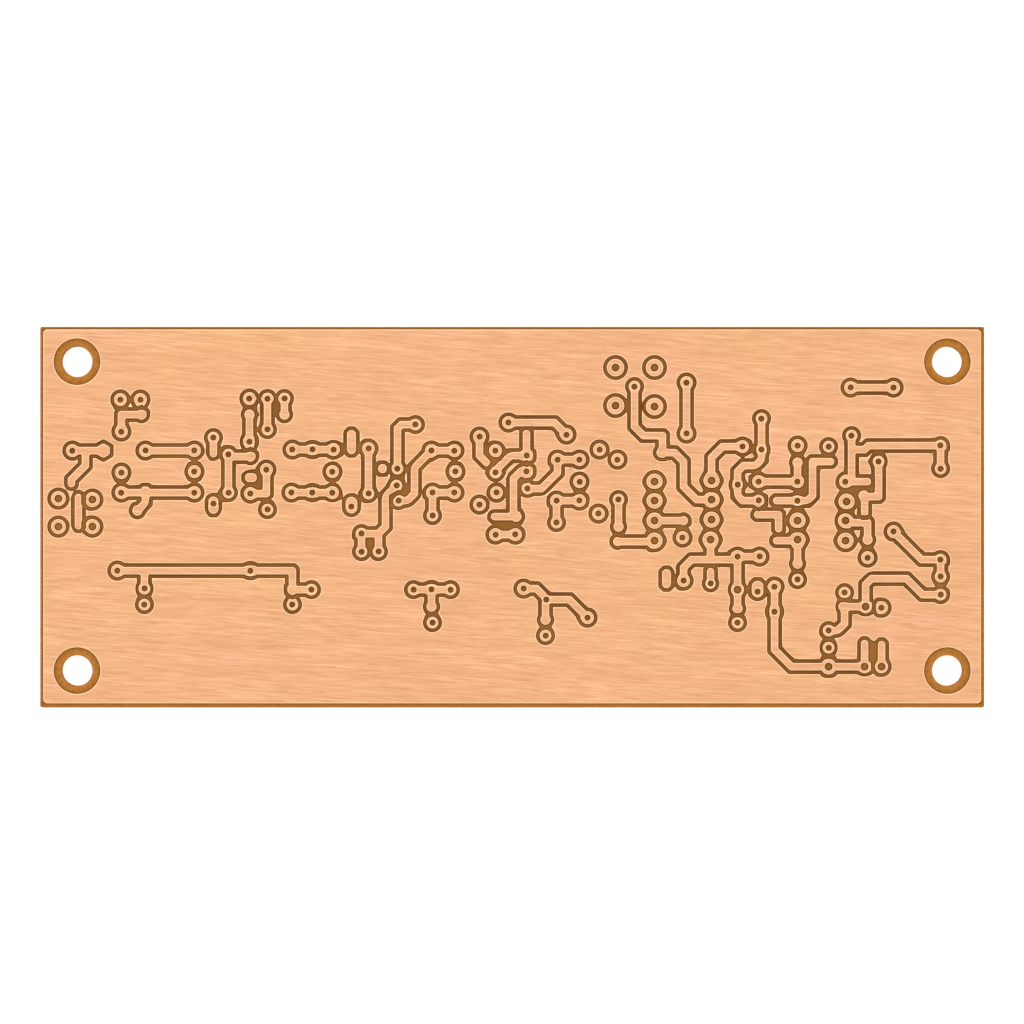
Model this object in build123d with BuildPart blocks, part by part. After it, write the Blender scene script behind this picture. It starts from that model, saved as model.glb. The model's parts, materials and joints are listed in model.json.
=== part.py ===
from build123d import *
from collections import namedtuple
from math import cos, pi, sin
import os

# Single-sided copper clad board whose circuit was milled out of the foil.
# Every conductor is an island of foil, and a narrow cut down to the bare laminate runs round it.
# The rest of the foil stays as one sheet that surrounds all the islands.
# Sizes are in millimetres. The origin is the middle of the board's underside, with Z up.

os.makedirs("parts", exist_ok=True)

# Board blank: phenolic paper laminate with one bonded copper foil.
laminate_thickness = 1.565
foil_thickness = 0.035
foil_edge_inset = 0.4
foil_corner_cut = 0.3

# Milled pattern, drawn on a 5 mil layout grid. A sliver smaller than this area lifts off in the cut.
grid = 0.127
cut_width = 0.46
track_width = 0.96
narrow_strip = 1.16
smallest_sliver = 0.18
lifted_width = 0.5

# Widths of the lands across their flats, and the diameter of the large lead holes.
small_land = 1.51
medium_land = 1.66
power_land = 1.68
dip_land = 2.06
wide_land = 1.96
terminal_land = 2.26
header_land = 1.92
bump_land = 1.31
tip_land = 1.16
large_drill = 1.0

# Bare border, from the centres of the outermost lands to the edges of the board.
west_border = 2.34
east_border = 5.56
side_border = 5.2

# Corner mounting holes, each inside a ring that is cleared of foil. The pattern sits a little north.
mounting_hole = 3.9
mounting_ring = 1.0
mounting_inset_x = 4.7
mounting_inset_south = 4.7
mounting_inset_north = 4.45

# A land is the pad of foil under one component lead. Only the large lead holes pierce the foil.
# A land that turns has its flats square to the track that leaves it.
hexagon_sides = 6
octagon_sides = 8
Land = namedtuple("Land", "width sides turns drilled")
small = Land(small_land, hexagon_sides, True, False)
medium = Land(medium_land, hexagon_sides, True, False)
power = Land(power_land, hexagon_sides, True, True)
dip = Land(dip_land, hexagon_sides, False, True)
wide = Land(wide_land, hexagon_sides, False, True)
terminal = Land(terminal_land, octagon_sides, False, True)
header = Land(header_land, octagon_sides, False, True)
bump = Land(bump_land, hexagon_sides, True, False)
tip = Land(tip_land, hexagon_sides, True, False)

# Circuit layout in grid steps, X to the right and Y up.
# A net is its lands as (x, y, kind) and its tracks as chains of corners, all along 0, 45 or 90 degrees.
Net = namedtuple("Net", "lands tracks")
nets = {
    # Left end of the board.
    "west_corner": Net([(81, 276, medium), (101, 293, bump)],
                       [[(81, 276), (81, 293), (101, 293)]]),
    "input_tee": Net([(32, 257, medium), (63, 257, medium)],
                     [[(32, 257), (63, 257)],
                      [(45, 257), (45, 242), (31, 228), (31, 224)]]),
    "west_link": Net([(105, 257, medium), (154, 257, medium)],
                     [[(105, 257), (154, 257)]]),
    "hook": Net([(81, 215, medium), (154, 215, medium), (105, 216, bump), (97, 197, bump)],
                [[(81, 215), (154, 215)],
                 [(105, 215), (105, 205), (97, 197)]]),
    "long_bus": Net([(77, 137, medium), (210, 137, medium), (104, 119, small), (252, 118, bump),
                     (271, 118, small)],
                    [[(77, 137), (252, 137), (252, 118), (271, 118)],
                     [(104, 137), (104, 119)]]),
    # Between the left end and the middle.
    "post_a": Net([(209, 266, medium), (209, 293, bump)], [[(209, 266), (209, 293)]]),
    "post_b": Net([(227, 309, small), (227, 278, small)], [[(227, 309), (227, 278)]]),
    "post_c": Net([(244, 309, small), (244, 293, bump)], [[(244, 309), (244, 293)]]),
    "post_d": Net([(173, 270, small)], [[(173, 270), (173, 254)]]),
    "elbow_a": Net([(188, 253, small), (188, 215, small), (210, 251, bump)],
                   [[(210, 251), (188, 251), (188, 215)]]),
    "elbow_b": Net([(226, 238, medium), (210, 214, medium)],
                   [[(226, 238), (226, 214), (210, 214)]]),
    "chain_a": Net([(252, 258, medium), (272, 258, medium), (293, 258, medium)],
                   [[(252, 258), (293, 258)]]),
    "chain_b": Net([(251, 215, medium), (272, 215, medium), (292, 215, medium)],
                   [[(251, 215), (292, 215)]]),
    "rail": Net([(328, 259, medium), (328, 214, small)], [[(328, 259), (328, 214)]]),
    "crook": Net([(375, 283, small), (357, 239, small)],
                 [[(375, 283), (361, 283), (357, 279), (357, 239)]]),
    "fork": Net([(356, 222, small), (321, 174, small), (321, 156, small), (338, 156, small)],
                [[(356, 222), (345, 211), (345, 181), (338, 174)],
                 [(321, 156), (321, 174), (338, 174), (338, 156)]]),
    "zigzag_a": Net([(358, 207, small), (391, 257, medium), (414, 257, medium)],
                    [[(358, 207), (367, 207), (374, 214), (374, 240), (391, 257), (414, 257)]]),
    "tee_a": Net([(392, 215, medium), (414, 215, medium), (392, 192, small)],
                 [[(392, 192), (392, 215), (414, 215)]]),
    "tee_c": Net([(373, 118, small), (391, 118, medium), (410, 118, small), (391, 101, bump)],
                 [[(373, 118), (410, 118)],
                  [(391, 118), (391, 101)]]),
    # Middle of the board.
    "slash": Net([(439, 271, medium)], [[(439, 271), (439, 252), (446, 245)]]),
    "zigzag_b": Net([(486, 252, medium), (455, 235, small)],
                    [[(486, 274), (486, 252), (470, 252), (453, 235)]]),
    "zigzag_c": Net([(486, 236, medium), (476, 191, bump)],
                    [[(486, 236), (480, 236), (473, 229), (473, 191), (454, 191)]]),
    "pair": Net([(455, 173, medium), (475, 173, medium)], [[(455, 173), (475, 173)]]),
    "ramp": Net([(468, 285, medium), (526, 273, medium)],
                [[(468, 285), (514, 285), (526, 273)]]),
    "zigzag_d": Net([(517, 248, medium), (539, 248, medium), (487, 219, small)],
                    [[(487, 219), (501, 219), (517, 235), (517, 248), (539, 248)]]),
    "tee_b": Net([(516, 207, medium), (539, 207, medium), (516, 185, small)],
                 [[(516, 185), (516, 207), (539, 207)]]),
    "gull": Net([(483, 119, medium), (547, 90, medium), (505, 88, bump)],
                [[(483, 119), (496, 119), (507, 108), (529, 108), (547, 90)],
                 [(505, 108), (505, 88)]]),
    # Right of the middle.
    "post_e": Net([(578, 208, small), (578, 181, bump)], [[(578, 208), (578, 181)]]),
    "post_f": Net([(646, 274, medium), (646, 325, medium)], [[(646, 274), (646, 325)]]),
    "post_g": Net([(670, 124, bump)], [[(670, 124), (670, 136)]]),
    "lead_a": Net([(614, 167, dip), (577, 166, tip)], [[(577, 166), (614, 166)]]),
    "lead_b": Net([(614, 187, dip), (643, 187, tip)], [[(614, 187), (643, 187)]]),
    "stairs": Net([(594, 321, small), (671, 208, dip), (621, 255, bump)],
                  [[(594, 321), (594, 281), (603, 272), (622, 272), (622, 255), (634, 255),
                    (643, 246), (643, 221), (656, 208), (671, 208)]]),
    "cane": Net([(671, 227, dip), (702, 261, medium)],
                [[(671, 227), (671, 250), (682, 261), (702, 261)]]),
    "branches": Net([(670, 168, dip), (643, 127, medium), (697, 151, medium), (719, 151, medium),
                     (697, 118, power), (697, 99, bump)],
                    [[(670, 168), (670, 148)],
                     [(643, 127), (643, 140), (651, 148), (697, 148)],
                     [(719, 151), (697, 151), (697, 99)]]),
    "serpent": Net([(721, 289, small), (721, 258, small), (697, 223, small), (718, 207, small)],
                   [[(721, 289), (721, 248), (715, 242), (703, 242), (697, 236), (697, 212),
                     (702, 207), (718, 207)]]),
    "elbow_c": Net([(718, 226, medium), (757, 226, medium), (757, 245, bump)],
                   [[(718, 226), (757, 226), (757, 245)]]),
    "elbow_d": Net([], [[(717, 193), (738, 193), (738, 179)]]),
    "step": Net([(757, 207, small)],
                [[(736, 207), (767, 207), (772, 212), (772, 246), (790, 246)]]),
    "lead_c": Net([(757, 168, dip), (757, 144, bump)],
                  [[(736, 167), (757, 167)],
                   [(757, 168), (757, 144)]]),
    # Right end of the board.
    "long_crook": Net([(734, 121, medium), (734, 96, medium), (788, 41, wide), (824, 41, power)],
                      [[(734, 121), (734, 58), (751, 41), (824, 41), (824, 64)]]),
    "post_h": Net([(841, 41, power)], [[(841, 41), (841, 63)]]),
    "switchback": Net([(788, 77, small), (803, 101, bump), (825, 101, power), (900, 113, small)],
                      [[(788, 77), (797, 77), (804, 84), (804, 101), (825, 101), (825, 123),
                        (831, 129), (866, 129), (882, 113), (900, 113)]]),
    "long_branch": Net([(805, 226, medium), (811, 272, small), (900, 262, small), (900, 239, small)],
                       [[(811, 272), (811, 226)],
                        [(805, 226), (827, 226)],
                        [(811, 258), (824, 258), (828, 262), (900, 262), (900, 239)]]),
    "elbow_e": Net([(838, 246, small), (823, 212, bump)],
                   [[(838, 246), (838, 211), (824, 211), (824, 195)]]),
    "elbow_f": Net([(805, 187, wide), (827, 168, bump)],
                   [[(805, 185), (827, 185), (827, 168)]]),
    "diagonal": Net([(853, 176, medium), (900, 148, small), (900, 131, small)],
                    [[(853, 176), (881, 148), (900, 148), (900, 131)]]),
    "east_link": Net([(810, 320, medium), (853, 320, medium)], [[(810, 320), (853, 320)]]),
}

# Lands with no track, one node for each kind.
single_lands = {
    "header_pads": (header, [(18, 209), (52, 208), (18, 181), (52, 181)]),
    "terminal_pads": (terminal, [(575, 340), (614, 340), (575, 302), (614, 301)]),
    "dip_pads": (dip, [(614, 226), (614, 207), (671, 188), (757, 187), (806, 206), (805, 167)]),
    "medium_pads": (medium, [(80, 308), (100, 308), (81, 235), (154, 236), (209, 309), (292, 236),
                             (415, 236), (455, 257), (456, 215), (439, 203), (539, 226), (559, 258),
                             (577, 248), (558, 194), (642, 170), (757, 262), (827, 150), (841, 100)]),
    "small_pads": (small, [(227, 198), (697, 85), (757, 128), (788, 261), (788, 60), (804, 115),
                           (104, 103), (252, 103), (392, 85), (505, 72)]),
    "dot_pad": (tip, [(342, 239)]),
}

# Straight bars of foil with no land, as (width, lower end, upper end).
bars = {
    "slot_pads": [(bump_land, (173, 199), (173, 206)), (small_land, (311, 200), (311, 205)),
                  (small_land, (717, 116), (717, 121)), (tip_land, (209, 230), (212, 230))],
    "strips": [(track_width, (38, 182), (38, 210)), (narrow_strip, (311, 258), (311, 273)),
               (narrow_strip, (626, 124), (626, 134))],
}

# Enclosed slivers that the cutter took off whole, each named by one point in it.
lost_slivers = [(463, 182), (329, 163), (762, 216), (235, 299)]

# Foil between the cuts of two posts, too narrow to hold on, that lifted off along this line.
lifted_strip = ((832, 45), (832, 65))

# Overall size follows from the layout and its borders.
land_spots = [land[:2] for net in nets.values() for land in net.lands]
land_spots += [spot for land, spots in single_lands.values() for spot in spots]
west_column = min(x for x, y in land_spots)
east_column = max(x for x, y in land_spots)
south_row = min(y for x, y in land_spots)
north_row = max(y for x, y in land_spots)
length = west_border + (east_column - west_column) * grid + east_border
width = side_border + (north_row - south_row) * grid + side_border
mounting_spacing_x = length - 2 * mounting_inset_x
mounting_spacing_y = width - mounting_inset_south - mounting_inset_north
mounting_centre = (0, (mounting_inset_south - mounting_inset_north) / 2)
foil_plane = Plane.XY.offset(laminate_thickness)


def place(spot):
    """Board coordinates of a layout point."""
    x = west_border - length / 2 + (spot[0] - west_column) * grid
    y = side_border - width / 2 + (spot[1] - south_row) * grid
    return x, y


def facets(start, end, half_width, sides, turn):
    """A regular polygon drawn out from one point to another, so its ends stay faceted."""
    corner = half_width / cos(pi / sides)
    run = (end[0] - start[0], end[1] - start[1])
    points = []
    for k in range(sides):
        angle = turn + 2 * pi * k / sides
        x = corner * cos(angle)
        y = corner * sin(angle)
        base = end if x * run[0] + y * run[1] > 0 else start
        points.append((base[0] + x, base[1] + y))
    return Polygon(*points, align=None, mode=Mode.PRIVATE)


def bar_face(width_across, start, end, growth):
    """A bar with eight-sided ends, whose facets lie along 0, 45 and 90 degrees."""
    return facets(place(start), place(end), width_across / 2 + growth, octagon_sides, pi / octagon_sides)


def land_face(x, y, land, tracks, growth):
    """One land, grown by the width of the cut or not at all."""
    legs = [leg for track in tracks for leg in zip(track, track[1:])]
    along_x = any(a[1] == b[1] == y and min(a[0], b[0]) <= x <= max(a[0], b[0]) for a, b in legs)
    turn = pi / land.sides if land.sides == octagon_sides or (land.turns and along_x) else 0
    spot = place((x, y))
    return facets(spot, spot, land.width / 2 + growth, land.sides, turn)


def net_face(net, growth):
    """Outline of a whole net: its lands and every leg of its tracks, joined."""
    faces = [land_face(x, y, land, net.tracks, growth) for x, y, land in net.lands]
    for track in net.tracks:
        faces += [bar_face(track_width, a, b, growth) for a, b in zip(track, track[1:])]
    with BuildSketch() as outline:
        add(faces)
    return outline.sketch


def drill_spots(lands):
    """Places of the large lead holes among some lands."""
    return [place((x, y)) for x, y, land in lands if land.drilled]


# An island is one conductor: its own outline, the area that its cut clears, and its large drills.
Island = namedtuple("Island", "copper cleared drills")
islands = {}
for name, net in nets.items():
    island = Island(net_face(net, 0), net_face(net, cut_width), drill_spots(net.lands))
    islands["track_" + name] = [island]
for name, (land, spots) in single_lands.items():
    islands[name] = [Island(land_face(x, y, land, [], 0), land_face(x, y, land, [], cut_width),
                            drill_spots([(x, y, land)])) for x, y in spots]
for name, pieces in bars.items():
    islands[name] = [Island(bar_face(across, low, high, 0), bar_face(across, low, high, cut_width), [])
                     for across, low, high in pieces]
all_islands = [island for group in islands.values() for island in group]


def boxes_meet(first, second):
    """True where the bounding boxes of two outlines overlap."""
    a = first.bounding_box()
    b = second.bounding_box()
    return a.min.X < b.max.X and b.min.X < a.max.X and a.min.Y < b.max.Y and b.min.Y < a.max.Y


def foil_face(island):
    """Foil of one island. A neighbour's cut takes away what it reaches."""
    cuts = [other.cleared for other in all_islands
            if other is not island and boxes_meet(island.copper, other.cleared)]
    with BuildSketch() as face:
        add(island.copper)
        if cuts:
            add(cuts, mode=Mode.SUBTRACT)
        if island.drills:
            with Locations(*island.drills):
                RegularPolygon(large_drill / 2, hexagon_sides, major_radius=False, mode=Mode.SUBTRACT)
    return face.sketch


def is_lost(face):
    """True for a leftover that holds one of the points of the lost slivers."""
    box = face.bounding_box()
    spots = [place(spot) for spot in lost_slivers]
    return any(box.min.X < x < box.max.X and box.min.Y < y < box.max.Y for x, y in spots)


# Laminate, with the four mounting holes.
with BuildPart() as laminate:
    with BuildSketch():
        Rectangle(length, width)
        with Locations(mounting_centre):
            with GridLocations(mounting_spacing_x, mounting_spacing_y, 2, 2):
                Circle(mounting_hole / 2, mode=Mode.SUBTRACT)
    extrude(amount=laminate_thickness)
laminate.part.label = "laminate"
export_step(laminate.part, "parts/laminate.step")

# Foil that is left round the circuit, with whatever the cuts enclose.
with BuildSketch(foil_plane) as remaining:
    Rectangle(length - 2 * foil_edge_inset, width - 2 * foil_edge_inset)
    chamfer(remaining.vertices(), foil_corner_cut)
    with Locations(mounting_centre):
        with GridLocations(mounting_spacing_x, mounting_spacing_y, 2, 2):
            Circle(mounting_hole / 2 + mounting_ring, mode=Mode.SUBTRACT)
    add([island.cleared for island in all_islands], mode=Mode.SUBTRACT)
    add(bar_face(lifted_width, *lifted_strip, 0), mode=Mode.SUBTRACT)
leftovers = remaining.sketch.faces().sort_by(SortBy.AREA, reverse=True)

with BuildPart() as ground_plane:
    extrude(leftovers[0], amount=foil_thickness)
ground_plane.part.label = "ground_plane"
export_step(ground_plane.part, "parts/ground_plane.step")

with BuildPart() as slivers:
    for face in leftovers[1:]:
        if face.area >= smallest_sliver and not is_lost(face):
            extrude(face, amount=foil_thickness)
slivers.part.label = "copper_slivers"
export_step(slivers.part, "parts/copper_slivers.step")

# Islands of foil, one node for each net and one for each group of single lands.
for name, pieces in islands.items():
    faces = [foil_face(island) for island in pieces]
    with BuildPart() as foil:
        with BuildSketch(foil_plane):
            add(faces)
        extrude(amount=foil_thickness)
    foil.part.label = name
    export_step(foil.part, f"parts/{name}.step")

print(f"board {length:.2f} x {width:.2f} mm")
print(f"mounting holes {mounting_spacing_x:.2f} x {mounting_spacing_y:.2f} mm apart")
print(f"{len(all_islands)} islands in {len(islands)} nodes")
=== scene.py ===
import json
import math
import random
import bpy
from mathutils import Matrix, Vector
from mathutils.geometry import delaunay_2d_cdt
from mathutils.kdtree import KDTree


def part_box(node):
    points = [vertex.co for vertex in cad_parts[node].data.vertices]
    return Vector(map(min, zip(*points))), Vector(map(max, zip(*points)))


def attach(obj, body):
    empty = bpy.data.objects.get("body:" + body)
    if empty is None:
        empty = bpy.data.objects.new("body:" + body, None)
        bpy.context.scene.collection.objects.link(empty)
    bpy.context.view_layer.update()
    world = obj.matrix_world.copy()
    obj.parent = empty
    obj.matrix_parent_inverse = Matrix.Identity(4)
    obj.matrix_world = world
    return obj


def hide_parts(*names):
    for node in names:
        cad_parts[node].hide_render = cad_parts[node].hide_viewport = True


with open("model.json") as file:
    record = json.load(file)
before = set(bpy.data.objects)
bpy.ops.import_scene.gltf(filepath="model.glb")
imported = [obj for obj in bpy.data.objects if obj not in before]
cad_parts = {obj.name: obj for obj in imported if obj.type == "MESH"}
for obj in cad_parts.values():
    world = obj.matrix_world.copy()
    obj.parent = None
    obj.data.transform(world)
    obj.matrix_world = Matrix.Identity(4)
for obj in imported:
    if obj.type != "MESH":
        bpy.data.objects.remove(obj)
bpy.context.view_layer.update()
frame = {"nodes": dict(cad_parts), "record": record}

# Single-sided copper clad board whose circuit was milled out of the foil, lying foil side up.
# Sizes are in millimetres until a mesh is made, and metres from there on.
mm = 0.001

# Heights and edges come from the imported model.
board_low, board_high = [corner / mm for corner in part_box("laminate")]
foil_low, foil_high = [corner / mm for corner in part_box("ground_plane")]
laminate_top = board_high.z
foil_top = foil_high.z

# The foil sheet was milled a little north of the board's middle: its south and north edges stand
# this far north of the model's. Points within the reach belong to an edge or its cut corners.
south_shift = 0.13
north_shift = 0.06
foil_south = foil_low.y + south_shift
foil_north = foil_high.y + north_shift
edge_reach = 0.35

# The cutter's groove: its depth below the foil, and how far its walls and the band of painted
# shade at their foot reach in from the foil's edge.
groove_depth = 0.13
wall_run = 0.06
painted_shade_run = 0.16

# Radii of the corners that the cutter leaves.
round_corner = 1.6  # round a land, or as much of it as the land's sides allow
bend_corner = 0.45  # where a track turns
neck_corner = 0.21  # where a track leaves a land
sharp_corner = 0.07  # at the foil's own tips
point_corner = 0.95  # at the left and right of a pointed land

# A corner belongs to a land within this reach of its middle, and to a land's point when it also
# lies within this height of it. A neighbour's cut never comes nearer to a large drill hole's
# middle than the least land.
land_reach = 1.8
point_height = 0.3
least_land = 0.8

# Turns above the sharp one are tips or necks, and those below the smooth one stay as they are.
sharp_turn = math.radians(65)
smooth_turn = math.radians(12)

# The foil's cut edge leans over a little and is tarnished, and a narrow band beside it carries a
# painted highlight.
lip_drop = 0.014
lip_run = 0.04
painted_highlight_run = 0.17

# Drill marks: round holes through the foil, with a cone in the laminate below. The hand drill
# wanders off the layout point by up to mark_wander both ways. The dent reaches a little further.
mark_radius = 0.39
mark_wander = 0.03
dent_radius = mark_radius + 1.5 * mark_wander
dent_slope = 0.9  # fall for each millimetre in from the foil's edge
large_mark_sides = 6

# Bare rings round the mounting holes. The slack takes in the points on a ring's outer edge.
ring_width = 1
ring_slack = 0.05
ring_depth = 0.05
ring_tan = 0.28  # share of the dark brown laid evenly over a ring, from 0 to 1
hole_chamfer = 0.1

# The bare strip along the board's edge, which falls away, and the board's sides. A point this near
# to the foil sheet's outer edge lies on it.
edge_fall = 0.16
edge_slack = 0.001
edge_chamfer = 0.06
corner_radius = 0.25

# How milled the strip and the sides look, from 0 for the paper's skin to 1 for a groove's floor.
strip_milled = 0.5
side_milled = 0.6

# Fineness of the meshes.
arc_step = math.radians(15)  # turn of one side of an arc
longest_run = 0.45
least_sides = 16  # of a circle
corner_steps = 4  # sides in a corner of the board
crease = math.radians(30)  # bends sharper than this are not shaded smooth

# Points nearer than the merge distance are one. The model's corners are matched to as many
# decimals. A loose point is tried against the nearest few edges, and kept where none of them is
# nearer than this share of its own distance.
merge_distance = 0.0001
match_digits = 4
near_edges = 5
clear_share = 0.9

# Layout grid of the circuit, from the board's west and south edges.
layout_step = 0.127
west_border = 2.34
west_column = 18
south_border = 5.2
south_row = 41

# Places of the small drill marks in layout steps. The model's own holes are the large ones.
small_marks = {
    "track_west_corner": [(81, 276)],
    "track_input_tee": [(32, 257)],
    "track_west_link": [(105, 257), (154, 257)],
    "track_hook": [(81, 215), (154, 215)],
    "track_long_bus": [(77, 137), (210, 137), (104, 119), (271, 118)],
    "track_post_a": [(209, 266)],
    "track_post_b": [(227, 309), (227, 278)],
    "track_post_c": [(244, 309)],
    "track_post_d": [(173, 270)],
    "track_elbow_a": [(188, 253), (188, 215)],
    "track_elbow_b": [(226, 238), (210, 214)],
    "track_chain_a": [(252, 258), (272, 258), (293, 258)],
    "track_chain_b": [(251, 215), (272, 215), (292, 215)],
    "track_rail": [(328, 259), (328, 214)],
    "track_crook": [(375, 283), (357, 239)],
    "track_fork": [(356, 222), (321, 174), (321, 156), (338, 156)],
    "track_zigzag_a": [(358, 207), (391, 257), (414, 257)],
    "track_tee_a": [(392, 215), (414, 215), (392, 192)],
    "track_tee_c": [(373, 118), (391, 118), (410, 118)],
    "track_slash": [(439, 271)],
    "track_zigzag_b": [(486, 252), (455, 235)],
    "track_zigzag_c": [(486, 236)],
    "track_pair": [(455, 173), (475, 173)],
    "track_ramp": [(468, 285), (526, 273)],
    "track_zigzag_d": [(517, 248), (539, 248), (487, 219)],
    "track_tee_b": [(516, 207), (539, 207), (516, 185)],
    "track_gull": [(483, 119), (547, 90), (506, 108)],
    "track_post_e": [(578, 208)],
    "track_post_f": [(646, 274), (646, 325)],
    "track_post_g": [(670, 124)],
    "track_stairs": [(594, 321)],
    "track_cane": [(702, 261)],
    "track_branches": [(643, 127), (697, 151), (719, 151)],
    "track_serpent": [(721, 289), (721, 258), (697, 223), (718, 207)],
    "track_elbow_c": [(718, 226), (757, 226)],
    "track_step": [(757, 207)],
    "track_long_crook": [(734, 121), (734, 96)],
    "track_switchback": [(788, 77), (900, 113)],
    "track_long_branch": [(805, 226), (811, 272), (900, 262), (900, 239)],
    "track_elbow_e": [(838, 246)],
    "track_diagonal": [(853, 176), (900, 148), (900, 131)],
    "track_east_link": [(810, 320), (853, 320)],
    "slot_pads": [(173, 204), (311, 201), (717, 116)],
    "medium_pads": [(80, 308), (100, 308), (81, 235), (154, 236), (209, 309), (292, 236),
                    (415, 236), (455, 257), (456, 215), (439, 203), (539, 226), (559, 258),
                    (577, 248), (558, 194), (642, 170), (757, 262), (827, 150), (841, 100)],
    "small_pads": [(227, 198), (697, 85), (757, 128), (788, 261), (788, 60), (804, 115),
                   (104, 103), (252, 103), (392, 85), (505, 72)],
}

# Lands that carry no drill mark, at the ends and corners of tracks.
bare_lands = [(101, 293), (105, 216), (97, 197), (252, 118), (209, 293), (244, 293), (210, 251),
              (391, 101), (476, 191), (505, 88), (578, 181), (670, 124), (577, 166), (643, 187),
              (621, 255), (697, 99), (757, 245), (757, 144), (803, 101), (823, 212), (827, 168),
              (342, 239)]

# Lands that are drawn out to a point on their left and right.
pointed_lands = [(614, 167), (614, 187), (614, 207), (614, 226), (671, 188), (671, 208),
                 (671, 227), (670, 168), (757, 168), (757, 187), (806, 206), (805, 167)]

chance = random.Random(7)


# Loops and points

def sides(loop):
    """Each entry of a closed loop with the one after it."""
    return zip(loop, loop[1:] + loop[:1])


def doubled_area(loop):
    """Twice the area of a loop of points, negative if it runs clockwise."""
    return sum(p.cross(q) for p, q in sides(loop))


def left_of(run):
    """Unit step to the left of a run."""
    return Vector((-run.y, run.x)).normalized()


def tree_of(spots):
    """A search tree of points."""
    tree = KDTree(len(spots))
    for i, spot in enumerate(spots):
        tree.insert(spot.to_3d(), i)
    tree.balance()
    return tree


def place(spot):
    """Board coordinates of a layout point."""
    x = board_low.x + west_border + (spot[0] - west_column) * layout_step
    y = board_low.y + south_border + (spot[1] - south_row) * layout_step
    return Vector((x, y))


def circle(centre, radius):
    """A clockwise loop of points, fine enough to look round."""
    count = max(least_sides, round(2 * math.pi * radius / longest_run))
    angles = [-2 * math.pi * k / count for k in range(count)]
    return [centre + radius * Vector((math.cos(a), math.sin(a))) for a in angles]


def pushed(loop, centre, radius):
    """The loop's points moved out or in to a radius."""
    return [centre + (spot - centre).normalized() * radius for spot in loop]


def stepped(points):
    """The loop without doubled points, and with its long runs divided."""
    loop = []
    for a, b in sides(points):
        run = (b - a).length
        if run < merge_distance:
            continue
        pieces = max(1, math.ceil(run / longest_run))
        loop += [a.lerp(b, k / pieces) for k in range(pieces)]
    return loop


# Outlines of the foil

def foil_outlines(name):
    """Edges of a node's upper face as closed loops, with the foil on the left of each."""
    mesh = frame["nodes"][name].data
    spots = [(round(v.co.x / mm, match_digits), round(v.co.y / mm, match_digits))
             for v in mesh.vertices]
    upper = [v.co.z / mm > (laminate_top + foil_top) / 2 for v in mesh.vertices]
    edges = set()
    for face in mesh.polygons:
        corners = list(face.vertices)
        if all(upper[c] for c in corners):
            edges.update((spots[a], spots[b]) for a, b in sides(corners))
    onward = {a: b for a, b in edges if (b, a) not in edges}
    loops = []
    for start in sorted(onward):
        if start not in onward:
            continue
        loop = []
        spot = start
        while spot in onward:
            loop.append(Vector(spot))
            spot = onward.pop(spot)
        loops.append(loop)
    return loops


def is_large_mark(loop):
    """True for the clockwise six-sided outline of one of the model's own drill holes."""
    return len(loop) == large_mark_sides and doubled_area(loop) < 0


def sheet_edge(loop):
    """The loop with its points on the sheet's south and north edges moved to the milled place."""
    moved = []
    for spot in loop:
        south = south_shift if spot.y - foil_low.y < edge_reach else 0
        north = north_shift if foil_high.y - spot.y < edge_reach else 0
        moved.append(Vector((spot.x, spot.y + south + north)))
    return moved


def spared(loop, centres):
    """The loop kept off the large drill holes, where a neighbour's cut comes close."""
    kept = []
    for spot in loop:
        for centre in centres:
            if (spot - centre).length < least_land:
                spot = centre + (spot - centre).normalized() * least_land
        kept.append(spot)
    return kept


def at_point(corner):
    """True for a corner at the left or right of a pointed land."""
    for spot in pointed_lands:
        away = corner - place(spot)
        if away.length < land_reach and abs(away.y) < point_height:
            return True
    return False


def wanted_reach(corner, turn, whole_turn, land_tree):
    """How far along its two sides a corner's arc wants to reach.

    A corner that turns against its whole loop is a neck or a tip, and so is a sharp one. There the
    foil turns right at a neck, which has the cutter's radius, and left at a tip, which stays sharp.
    """
    if abs(turn) < smooth_turn:
        return 0
    if turn * whole_turn < 0 or abs(turn) > sharp_turn:
        radius = neck_corner if turn < 0 else sharp_corner
    elif at_point(corner):
        radius = point_corner
    elif land_tree.find(corner.to_3d())[2] < land_reach:
        radius = round_corner
    else:
        radius = bend_corner
    return radius * math.tan(abs(turn) / 2)


def milled(loop, land_tree):
    """The loop with an arc in place of each corner, as a round cutter leaves it.

    Two corners that want more than the side between them has share it, which makes a regular land
    round.
    """
    legs = [after - corner for corner, after in sides(loop)]
    turns = [-legs[i - 1].angle_signed(legs[i]) for i in range(len(loop))]
    whole_turn = math.copysign(1, sum(turns))
    wants = [wanted_reach(corner, turn, whole_turn, land_tree)
             for corner, turn in zip(loop, turns)]
    points = []
    for i, (corner, turn) in enumerate(zip(loop, turns)):
        last, following = legs[i - 1], legs[i]
        behind = max(last.length / 2, last.length - wants[i - 1])
        ahead = max(following.length / 2, following.length - wants[(i + 1) % len(loop)])
        reach = min(wants[i], behind, ahead)
        if reach == 0:
            points.append(corner)
            continue
        start = corner - last.normalized() * reach
        centre = start + left_of(last) * (reach / math.tan(turn / 2))
        steps = max(1, round(abs(turn) / arc_step))
        for k in range(steps + 1):
            points.append(centre + Matrix.Rotation(turn * k / steps, 2) @ (start - centre))
    return stepped(points)


def mark_loops(name):
    """Small drill marks of a node, each a little off its layout point."""
    loops = []
    for spot in small_marks.get(name, []):
        wander = Vector((chance.uniform(-1, 1), chance.uniform(-1, 1))) * mark_wander
        loops.append(circle(place(spot) + wander, mark_radius))
    return loops


# Filling the ground between outlines

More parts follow.
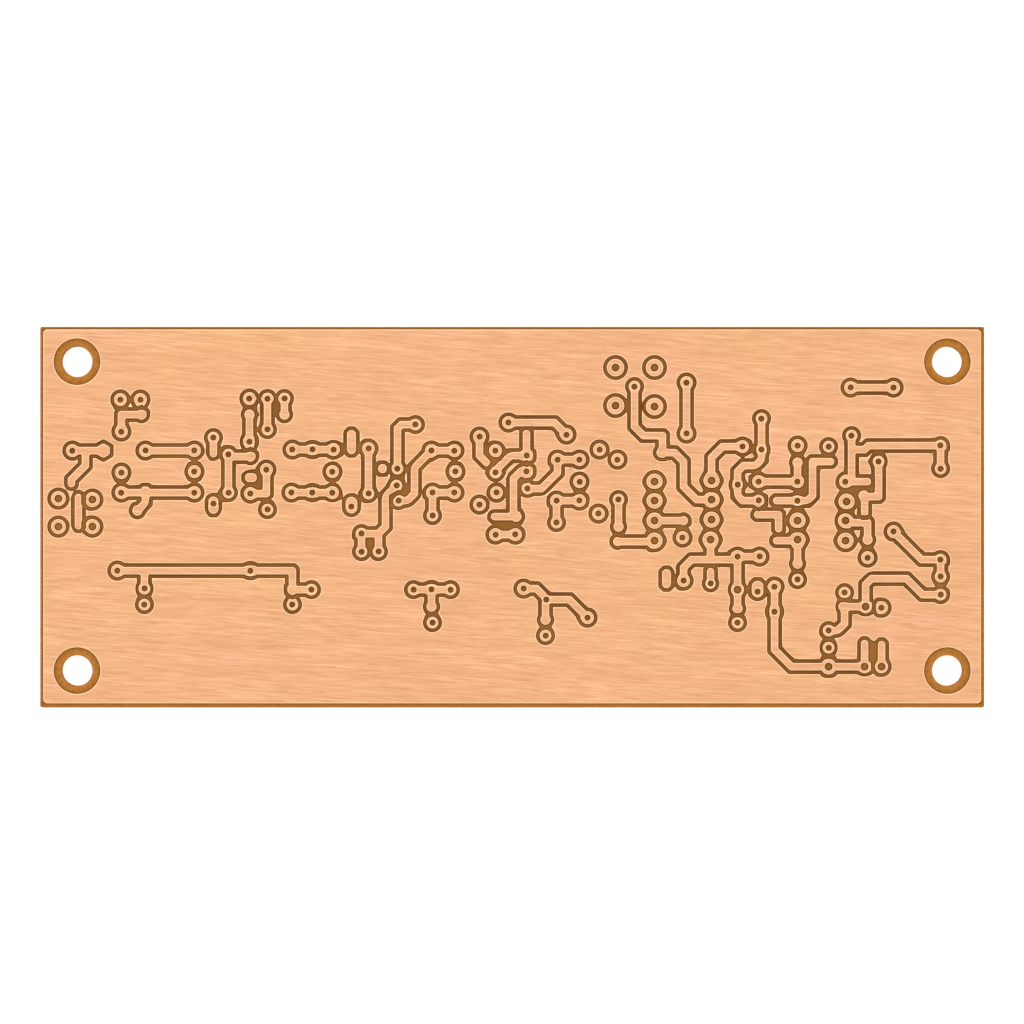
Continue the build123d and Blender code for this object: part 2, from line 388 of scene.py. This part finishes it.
def edge_finder(loops):
    """A function that gives the distance from a point to the nearest edge of the loops."""
    ends = [(a, b) for loop in loops for a, b in sides(loop)]
    middles = tree_of([(a + b) / 2 for a, b in ends])

    def distance(spot):
        gaps = []
        for _, i, _ in middles.find_n(spot.to_3d(), near_edges):
            a, b = ends[i]
            run = b - a
            along = min(1, max(0, (spot - a).dot(run) / run.length_squared))
            gaps.append((spot - a - run * along).length)
        return min(gaps)

    return distance


def rows_beside(loops, distances, side):
    """Loose points at set distances from the loops, each with its distance.

    Side 1 is the foil, on the left, and -1 the cut. A point that lands nearer to another edge is
    left out.
    """
    distance = edge_finder(loops)
    rows = []
    for loop in loops:
        for i, spot in enumerate(loop):
            across = left_of(loop[(i + 1) % len(loop)] - loop[i - 1]) * side
            for away in distances:
                point = spot + across * away
                if distance(point) > away * clear_share:
                    rows.append((point, away))
    return rows


def filled(loops, rows=()):
    """Triangulate the ground round the loops, with rows of loose points in it.

    Gives the points, the numbers of each loop's points among them, the distance that each point
    of a row carries, and the triangles, each with the numbers of the loops round it.
    """
    points = []
    rings = []
    for loop in loops:
        rings.append(list(range(len(points), len(points) + len(loop))))
        points += loop
    turned = [ring if doubled_area(loop) > 0 else ring[::-1] for ring, loop in zip(rings, loops)]
    made, _, faces, sources, _, owners = delaunay_2d_cdt(
        points + [point for point, _ in rows], [], turned, 0, merge_distance, True)
    went = {i: k for k, source in enumerate(sources) for i in source}
    away_of = {went[len(points) + i]: away for i, (_, away) in enumerate(rows)}
    rings = [[went[i] for i in ring] for ring in rings]
    return made, rings, away_of, list(zip(faces, owners))


def make_mesh(name, vertices, faces, values, material):
    """A closed mesh in metres, with one named number per vertex for each entry of values."""
    mesh = bpy.data.meshes.new(name)
    mesh.from_pydata([Vector(v) * mm for v in vertices], [], faces)
    for key, numbers in values.items():
        mesh.attributes.new(key, "FLOAT", "POINT").data.foreach_set("value", numbers)
    flat = mesh.uv_layers.new(name="board_plan")
    for corner in mesh.loops:
        spot = mesh.vertices[corner.vertex_index].co
        flat.data[corner.index].uv = (spot.x, spot.y)
    mesh.materials.append(material)
    mesh.shade_smooth()
    mesh.set_sharp_from_angle(angle=crease)
    piece = bpy.data.objects.new(name, mesh)
    bpy.context.scene.collection.objects.link(piece)
    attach(piece, "root")
    return piece


# Materials

def linear(hex_colour):
    """Linear colour of an sRGB hex value."""
    parts = [int(hex_colour[i:i + 2], 16) / 255 for i in (1, 3, 5)]
    return [p / 12.92 if p <= 0.04045 else ((p + 0.055) / 1.055) ** 2.4 for p in parts] + [1]


def add(tree, kind, inputs, **settings):
    """Add a node with its settings. Each input is a value, or another node's output to link."""
    node = tree.nodes.new("ShaderNode" + kind)
    for key, value in settings.items():
        setattr(node, key, value)
    for key, value in inputs.items():
        if isinstance(value, bpy.types.NodeSocket):
            tree.links.new(value, node.inputs[key])
        else:
            node.inputs[key].default_value = value
    return node


def new_material(name):
    """An empty node material and its tree."""
    material = bpy.data.materials.new(name)
    material.use_nodes = True
    material.node_tree.nodes.clear()
    return material, material.node_tree


def noise(tree, spot, length, width, turn=0, **inputs):
    """Noise with grains of a length and a width in millimetres, turned by an angle."""
    scaled = add(tree, "Mapping", {"Vector": spot, "Rotation": (0, 0, turn),
                                   "Scale": (length * mm, width * mm, width * mm)},
                 vector_type="TEXTURE")
    return add(tree, "TexNoise", {"Vector": scaled.outputs[0], "Scale": 1, **inputs}).outputs[0]


def spread(tree, value):
    """Noise spread over 0 to 1, since most of it lies between 0.3 and 0.7."""
    return add(tree, "MapRange", {"Value": value, "From Min": 0.3, "From Max": 0.7}).outputs[0]


def mixed(tree, share, first, second):
    """A colour that goes from the first to the second as the share goes from 0 to 1."""
    return add(tree, "MixRGB", {"Fac": share, "Color1": first, "Color2": second}).outputs[0]


def carried(tree, name):
    """The number of that name that the mesh's vertices carry."""
    return add(tree, "Attribute", {}, attribute_name=name).outputs["Fac"]


def brushed_copper_foil():
    """Rolled copper foil, brushed lengthwise by hand: warm satin metal with fine streaks.

    The streaks fall a few degrees to the right. Real scratches are about 0.05 mm apart, too fine
    to show, so the finest are drawn 0.17 mm apart. A pale band beside each cut edge is a painted
    highlight, and the cut itself is tarnished orange.
    """
    material, tree = new_material("brushed_copper_foil")
    spot = add(tree, "TexCoord", {}).outputs["Object"]
    fall = math.radians(-4)
    streaks = noise(tree, spot, 3.5, 0.17, fall, Detail=5, Roughness=0.62, Distortion=0.4)
    bands = noise(tree, spot, 22, 1.3, fall, Detail=2)
    patches = noise(tree, spot, 14, 14, Detail=1)
    rosy, golden, dull = linear("#fabf99"), linear("#f6c490"), linear("#efb688")
    scratched, highlight_colour, tarnished = linear("#d4996d"), linear("#ffdcae"), linear("#c07434")
    colour = mixed(tree, spread(tree, patches), rosy, golden)
    colour = mixed(tree, spread(tree, bands), dull, colour)
    colour = mixed(tree, spread(tree, streaks), scratched, colour)
    # Painted highlight: pale copper in a band beside every cut edge.
    colour = mixed(tree, carried(tree, "painted_highlight"), colour, highlight_colour)
    colour = mixed(tree, carried(tree, "tarnish"), colour, tarnished)
    rough = add(tree, "MapRange", {"Value": streaks, "To Min": 0.3, "To Max": 0.46})
    relief = add(tree, "Bump", {"Height": streaks, "Strength": 0.25, "Distance": 0.01 * mm})
    grain = add(tree, "Tangent", {}, direction_type="UV_MAP", uv_map="board_plan")
    metal = add(tree, "BsdfPrincipled", {"Base Color": colour, "Metallic": 1,
                                         "Roughness": rough.outputs[0], "Anisotropic": 0.5,
                                         "Normal": relief.outputs[0],
                                         "Tangent": grain.outputs[0]})
    add(tree, "OutputMaterial", {"Surface": metal.outputs[0]})
    return material


def milled_phenolic_paper():
    """Phenolic paper laminate, cut by a mill: dry brown floor, with painted shade by the cut walls.

    The paper's own skin on the rings and edges is a lighter orange brown. Its fibre shows as a
    mottle 0.5 mm across.
    """
    material, tree = new_material("milled_phenolic_paper")
    spot = add(tree, "TexCoord", {}).outputs["Object"]
    mottle = noise(tree, spot, 0.5, 0.5, Detail=3)
    clouds = noise(tree, spot, 6, 6, Detail=1)
    skin = mixed(tree, spread(tree, mottle), linear("#a4631c"), linear("#b97a32"))
    floor = mixed(tree, spread(tree, clouds), linear("#83521f"), linear("#945f27"))
    shade_and_ring_brown = linear("#462200")
    colour = mixed(tree, carried(tree, "milled"), skin, floor)
    # Painted shade: dark brown in a band at the foot of every cut wall, in the drill dents and at
    # the rings' outer edge. The rings also get an even share of it as their tone.
    colour = mixed(tree, carried(tree, "painted_shade_and_ring_tone"), colour, shade_and_ring_brown)
    relief = add(tree, "Bump", {"Height": mottle, "Strength": 0.4, "Distance": 0.02 * mm})
    paper = add(tree, "BsdfPrincipled", {"Base Color": colour, "Roughness": 0.75,
                                         "Specular IOR Level": 0.15,
                                         "Normal": relief.outputs[0]})
    add(tree, "OutputMaterial", {"Surface": paper.outputs[0]})
    return material


def lit_white_acrylic():
    """Matt white acrylic lit softly from below, so no shade shows by the board or in its holes."""
    material, tree = new_material("lit_white_acrylic")
    matt = add(tree, "BsdfPrincipled", {"Base Color": linear("#f6f6f4"), "Roughness": 0.9,
                                        "Emission Color": linear("#ffffff"),
                                        "Emission Strength": 0.5})
    add(tree, "OutputMaterial", {"Surface": matt.outputs[0]})
    return material


# Foil

def foil_piece(name, loops, material):
    """One node's islands of foil: a flat sheet with a lip along every cut edge."""
    rows = rows_beside(loops, (lip_run, painted_highlight_run), 1)
    top_spots, top_rings, away_of, top_faces = filled(loops, rows)
    away_of.update({i: 0 for ring in top_rings for i in ring})
    vertices = []
    painted_highlight = []
    tarnish = []
    for i, spot in enumerate(top_spots):
        away = away_of.get(i, painted_highlight_run)
        vertices.append((spot.x, spot.y, foil_top - (lip_drop if away == 0 else 0)))
        # Painted highlight: pale copper beside the cut edge, fading out across the band.
        painted_highlight.append(1 - min(1, away / painted_highlight_run))
        tarnish.append(1 if away == 0 else 0)
    faces = [face for face, owners in top_faces if len(owners) % 2]
    low_spots, low_rings, _, low_faces = filled(loops)
    base = len(vertices)
    vertices += [(spot.x, spot.y, laminate_top) for spot in low_spots]
    painted_highlight += [1] * len(low_spots)
    tarnish += [1] * len(low_spots)
    faces += [[base + i for i in reversed(face)] for face, owners in low_faces if len(owners) % 2]
    for top_ring, low_ring in zip(top_rings, low_rings):
        for (i, j), (p, q) in zip(sides(top_ring), sides(low_ring)):
            faces.append((base + p, base + q, j, i))
    values = {"painted_highlight": painted_highlight, "tarnish": tarnish}
    piece = make_mesh(name + "_foil", vertices, faces, values, material)
    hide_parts(name)


# Laminate

def mounting_holes():
    """Centres and radius of the mounting holes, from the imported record."""
    pattern = next(m for m in frame["record"]["mounts"] if m["kind"] == "bolt_pattern")
    half_x = pattern["dims"]["spacing_x_mm"] / 2
    half_y = pattern["dims"]["spacing_y_mm"] / 2
    middle = Vector(pattern["pos_m"][:2]) / mm
    centres = [middle + Vector((x, y)) for x in (-half_x, half_x) for y in (-half_y, half_y)]
    return centres, pattern["dims"]["hole_r_mm"]


def board_outline(inset):
    """The board's edge as a loop with slightly rounded corners, moved in by an inset."""
    points = []
    radius = corner_radius - inset
    corners = [(board_high.x, board_low.y, -90), (board_high.x, board_high.y, 0),
               (board_low.x, board_high.y, 90), (board_low.x, board_low.y, 180)]
    for x, y, first in corners:
        centre = Vector((x - math.copysign(corner_radius, x), y - math.copysign(corner_radius, y)))
        for k in range(corner_steps + 1):
            angle = math.radians(first + 90 / corner_steps * k)
            points.append(centre + radius * Vector((math.cos(angle), math.sin(angle))))
    return stepped(points)


def push_out(spot):
    """Step from the chamfered edge out to the board's full edge."""
    core = Vector((max(board_low.x + corner_radius, min(board_high.x - corner_radius, spot.x)),
                   max(board_low.y + corner_radius, min(board_high.y - corner_radius, spot.y))))
    return (spot - core).normalized() * edge_chamfer


def face_point(spot, away, in_dent, in_ring, on_brim, on_edge):
    """Drop below the foil, milled look and painted shade of a point of the board's face.

    Away is its distance from the foil's edge. The brim is that of a mounting hole, and the edge
    the board's. The painted shade darkens a band by the foil's edge; on a ring it lies over an even
    brown tone.
    """
    outside = -min(spot.x - foil_low.x, foil_high.x - spot.x,
                   spot.y - foil_south, foil_north - spot.y)
    drop = groove_depth * min(1, away / wall_run)
    if in_dent:
        drop = dent_slope * away
    if in_ring:
        drop = ring_depth if away or on_brim else 0
    if outside > edge_slack:
        drop = edge_fall * min(1, outside / (board_high.y - foil_north))
    look = 0 if in_ring else strip_milled if outside > -edge_slack else 1
    # Painted shade: darkest at the foot of the foil's cut wall and gone at the band's width. A ring
    # adds an even brown tone.
    shade_and_ring_tone = 0 if on_edge or on_brim else max(0, 1 - away / painted_shade_run)
    if in_ring and not on_brim:
        shade_and_ring_tone = ring_tan + (1 - ring_tan) * shade_and_ring_tone
    return drop, look, shade_and_ring_tone


def laminate_piece(foil_loops, material):
    """The board: grooves, dents and rings in its face, a sloped bare edge, a plain underside."""
    centres, hole_radius = mounting_holes()
    brims = [circle(centre, hole_radius + hole_chamfer) for centre in centres]
    edge = board_outline(edge_chamfer)
    dents = [place(spot) for spots in small_marks.values() for spot in spots]
    rows = rows_beside(foil_loops, (wall_run, painted_shade_run), -1)
    rows += [(dent, mark_radius) for dent in dents]
    spots, rings, away_of, owned_faces = filled([edge] + brims + foil_loops, rows)
    edge_ring, brim_rings = rings[0], rings[1:1 + len(brims)]
    on_edge = set(edge_ring)
    on_brim = {i for ring in brim_rings for i in ring}
    away_of.update({i: 0 for ring in rings[1 + len(brims):] for i in ring})
    dent_tree = tree_of(dents)
    vertices = []
    look = []
    painted_shade_and_ring_tone = []
    for i, spot in enumerate(spots):
        in_dent = dent_tree.find(spot.to_3d())[2] < dent_radius
        from_hole = min((spot - centre).length for centre in centres) - hole_radius
        drop, milled_look, shade_and_ring_tone = face_point(
            spot, away_of.get(i, painted_shade_run), in_dent, from_hole < ring_width + ring_slack,
            i in on_brim, i in on_edge)
        vertices.append((spot.x, spot.y, laminate_top - drop))
        look.append(milled_look)
        # Painted shade by the foil's edges, with the rings' even tone.
        painted_shade_and_ring_tone.append(shade_and_ring_tone)
    open_owners = set(range(1, 1 + len(brims)))
    faces = [face for face, owners in owned_faces if owners and not open_owners & set(owners)]

    def strip(upper, lower):
        """Wall between two matching closed rows of vertices."""
        for (i, j), (p, q) in zip(sides(upper), sides(lower)):
            faces.append((p, q, j, i))

    def row(loop, height):
        """Add a loop of plain laminate vertices at a height, and give their numbers."""
        first = len(vertices)
        vertices.extend((spot.x, spot.y, height) for spot in loop)
        look.extend([side_milled] * len(loop))
        painted_shade_and_ring_tone.extend([0] * len(loop))
        return list(range(first, first + len(loop)))

    full_edge = [spot + push_out(spot) for spot in edge]
    top_row = row(full_edge, laminate_top - edge_fall - edge_chamfer)
    low_row = row(full_edge, edge_chamfer)
    foot_row = row(edge, 0)
    strip(edge_ring, top_row)
    strip(top_row, low_row)
    strip(low_row, foot_row)
    foot_loops = [edge]
    foot_rows = [foot_row]
    for centre, brim, ring in zip(centres, brims, brim_rings):
        bore = pushed(brim, centre, hole_radius)
        bore_top = row(bore, laminate_top - ring_depth - hole_chamfer)
        bore_foot = row(bore, 0)
        strip(ring, bore_top)
        strip(bore_top, bore_foot)
        foot_loops.append(bore)
        foot_rows.append(bore_foot)
    _, under_rings, _, under_faces = filled(foot_loops)
    number = {}
    for ring, numbers in zip(under_rings, foot_rows):
        number.update(zip(ring, numbers))
    for face, owners in under_faces:
        if len(owners) % 2:
            faces.append([number[i] for i in reversed(face)])
    values = {"milled": look, "painted_shade_and_ring_tone": painted_shade_and_ring_tone}
    piece = make_mesh("laminate_board", vertices, faces, values, material)
    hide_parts("laminate")


# Stage, light and camera

def white_floor():
    """A wide white board under the part, a hair below it so that the two don't coincide."""
    half = 1500 * mm
    level = -0.02 * mm
    corners = [(-half, -half, level), (half, -half, level), (half, half, level),
               (-half, half, level)]
    mesh = bpy.data.meshes.new("floor")
    mesh.from_pydata(corners, [], [(0, 1, 2, 3)])
    mesh.materials.append(lit_white_acrylic())
    floor = bpy.data.objects.new("floor", mesh)
    bpy.context.scene.collection.objects.link(floor)


def softbox(name, watts, size, spot, aim):
    """A square area light that faces a point. Its size and places are in metres."""
    light = bpy.data.lights.new(name, "AREA")
    light.energy = watts
    light.size = size
    lamp = bpy.data.objects.new(name, light)
    lamp.location = spot
    lamp.rotation_euler = (Vector(aim) - Vector(spot)).to_track_quat("-Z", "Y").to_euler()
    bpy.context.scene.collection.objects.link(lamp)


def white_studio(strength):
    """Even white light from all round."""
    world = bpy.data.worlds.new("studio")
    bpy.context.scene.world = world
    world.use_nodes = True
    sky = world.node_tree.nodes["Background"].inputs
    sky["Color"].default_value = (1, 1, 1, 1)
    sky["Strength"].default_value = strength


def overhead_camera(focal, sensor, photo_pixels, board_pixels, middle):
    """A long lens straight above the board, which fills as much of the picture as in the photo.

    The focal length and the sensor's width are in millimetres. The middle is where the picture's
    middle lies on the board.
    """
    view_width = (board_high.x - board_low.x) * mm * photo_pixels / board_pixels
    lens = bpy.data.cameras.new("camera")
    lens.lens = focal
    lens.sensor_width = sensor
    lens.clip_end = 10
    camera = bpy.data.objects.new("camera", lens)
    height = view_width * focal / sensor
    camera.location = (middle[0] * mm, middle[1] * mm, foil_top * mm + height)
    bpy.context.scene.collection.objects.link(camera)
    bpy.context.scene.camera = camera


copper = brushed_copper_foil()
phenolic = milled_phenolic_paper()
outlines = {name: foil_outlines(name) for name in sorted(frame["nodes"]) if name != "laminate"}
large_marks = [sum(loop, Vector((0, 0))) / len(loop)
               for loops in outlines.values() for loop in loops if is_large_mark(loop)]
marked_lands = [place(spot) for spots in small_marks.values() for spot in spots]
lands = tree_of(marked_lands + [place(spot) for spot in bare_lands] + large_marks)
all_loops = []
for name, loops in outlines.items():
    if name == "ground_plane":
        loops = [sheet_edge(loop) for loop in loops]
    loops = [loop if is_large_mark(loop) else spared(loop, large_marks) for loop in loops]
    loops = [milled(loop, lands) for loop in loops] + mark_loops(name)
    foil_piece(name, loops, copper)
    all_loops += loops
laminate_piece(all_loops, phenolic)

white_floor()
softbox("north_west_softbox", watts=8, size=2.2, spot=(-0.7, 1.1, 0.9), aim=(0, 0, 0))
white_studio(strength=1.14)
bpy.context.scene.view_settings.view_transform = "Standard"
overhead_camera(focal=200, sensor=36, photo_pixels=1024, board_pixels=944.4,
                middle=(-0.025, 0.652))
